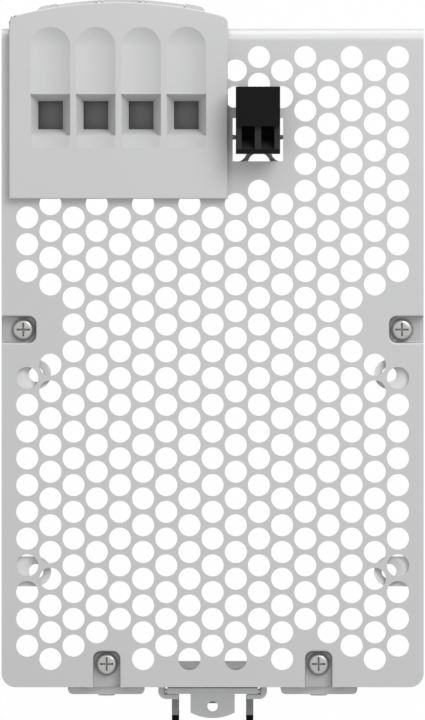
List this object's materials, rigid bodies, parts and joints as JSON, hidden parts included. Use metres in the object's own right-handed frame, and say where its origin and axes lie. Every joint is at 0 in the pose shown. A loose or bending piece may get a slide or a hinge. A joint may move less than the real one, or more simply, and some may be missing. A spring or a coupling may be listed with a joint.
{
  "type": "din rail power supply",
  "caption": "Rail-mounted power supply in a perforated sheet housing with lever terminals at both ends, a pluggable signal connector and a sprung sliding rail latch.",
  "frame": {"origin": "middle of the rail's front face, half way along the housing's width and across the rail", "axes": "+X along the rail, +Y from the housing to the rail so that -Y is the front, +Z out of the end that carries the latch tab, the output block and the signal plug"},
  "size_m": [0.082, 0.1439, 0.1348],
  "materials": {
    "cover_sheet": "satin",
    "chassis_sheet": "satin",
    "zinc_steel": "satin",
    "bracket_steel": "satin",
    "foot_steel": "satin",
    "spring_steel": "bright",
    "terminal_plastic": "fine grain",
    "plug_plastic": "fine grain",
    "dark_plastic": "moulded",
    "clear_plastic": "clear",
    "yellow_plastic": "tape",
    "can_sleeve": "sleeve",
    "foil": "film",
    "board": "coated",
    "ferrite": "ground",
    "heat_sink_aluminium": "extruded",
    "copper": "plated"
  },
  "bodies": {
    "housing": {"chassis": "chassis_sheet", "front_cover": "cover_sheet", "bottom_cover": "cover_sheet", "top_cover_screws": "zinc_steel", "bottom_cover_screws": "zinc_steel", "front_screws": "zinc_steel", "rear_brackets": "bracket_steel", "bracket_rivets": "zinc_steel", "output_terminal": "terminal_plastic", "output_clamps": "spring_steel", "output_busbars": "copper", "output_lever_pin": "spring_steel", "input_terminal": "terminal_plastic", "input_clamps": "spring_steel", "input_busbars": "copper", "input_lever_pin": "spring_steel", "plug_header": "plug_plastic", "header_pins": "copper", "signal_board": "board", "status_lamp": "clear_plastic", "light_pipe": "clear_plastic", "trimmer_body": "dark_plastic", "rail_foot": "foot_steel", "foot_rivets": "zinc_steel", "latch_spring": "spring_steel", "main_board": "board", "card_guides": "dark_plastic", "insulating_foil": "foil", "fuse": "clear_plastic", "filter_choke": "dark_plastic", "filter_capacitor": "yellow_plastic", "bridge_rectifier": "dark_plastic", "bulk_capacitors": "can_sleeve", "heat_sink": "heat_sink_aluminium", "switch_transistors": "dark_plastic", "transformer_core": "ferrite", "transformer_coil": "yellow_plastic", "output_inductor": "ferrite", "output_capacitors": "can_sleeve", "signal_relay": "clear_plastic"},
    "latch": {"latch_slider": "foot_steel"},
    "plug": {"signal_plug": "plug_plastic", "plug_screws": "zinc_steel"},
    "trimmer": {"trimmer_rotor": "terminal_plastic"},
    "output_lever_1": {"output_lever_1": "terminal_plastic"},
    "output_lever_2": {"output_lever_2": "terminal_plastic"},
    "output_lever_3": {"output_lever_3": "terminal_plastic"},
    "output_lever_4": {"output_lever_4": "terminal_plastic"},
    "input_lever_1": {"input_lever_1": "terminal_plastic"},
    "input_lever_2": {"input_lever_2": "terminal_plastic"},
    "input_lever_3": {"input_lever_3": "terminal_plastic"}
  },
  "joints": [
    {"name": "latch_release", "type": "slide", "parent": "housing", "child": "latch", "axis": [0, 0, 1], "range_m": [0, 0.0035], "stiffness_N_per_m": 600, "springref_m": -0.006, "deforming": ["latch_spring"]},
    {"name": "plug_pull", "type": "slide", "parent": "housing", "child": "plug", "axis": [0, 0, 1], "range_m": [0, 0.012]},
    {"name": "trimmer_turn", "type": "hinge", "parent": "housing", "child": "trimmer", "pos_m": [0.024, -0.1275, 0.031], "axis": [0, 1, 0], "range_deg": [-135, 135]},
    {"name": "output_lever_1_turn", "type": "hinge", "parent": "housing", "child": "output_lever_1", "pos_m": [0.0315, -0.1353, 0.0425], "axis": [1, 0, 0], "range_deg": [0, 80]},
    {"name": "output_lever_2_turn", "type": "hinge", "parent": "housing", "child": "output_lever_2", "pos_m": [0.0227, -0.1353, 0.0425], "axis": [1, 0, 0], "range_deg": [0, 80]},
    {"name": "output_lever_3_turn", "type": "hinge", "parent": "housing", "child": "output_lever_3", "pos_m": [0.0139, -0.1353, 0.0425], "axis": [1, 0, 0], "range_deg": [0, 80]},
    {"name": "output_lever_4_turn", "type": "hinge", "parent": "housing", "child": "output_lever_4", "pos_m": [0.0051, -0.1353, 0.0425], "axis": [1, 0, 0], "range_deg": [0, 80]},
    {"name": "input_lever_1_turn", "type": "hinge", "parent": "housing", "child": "input_lever_1", "pos_m": [0.0271, -0.138, -0.0425], "axis": [-1, 0, 0], "range_deg": [0, 80]},
    {"name": "input_lever_2_turn", "type": "hinge", "parent": "housing", "child": "input_lever_2", "pos_m": [0.0183, -0.138, -0.0425], "axis": [-1, 0, 0], "range_deg": [0, 80]},
    {"name": "input_lever_3_turn", "type": "hinge", "parent": "housing", "child": "input_lever_3", "pos_m": [0.0095, -0.138, -0.0425], "axis": [-1, 0, 0], "range_deg": [0, 80]}
  ]
}
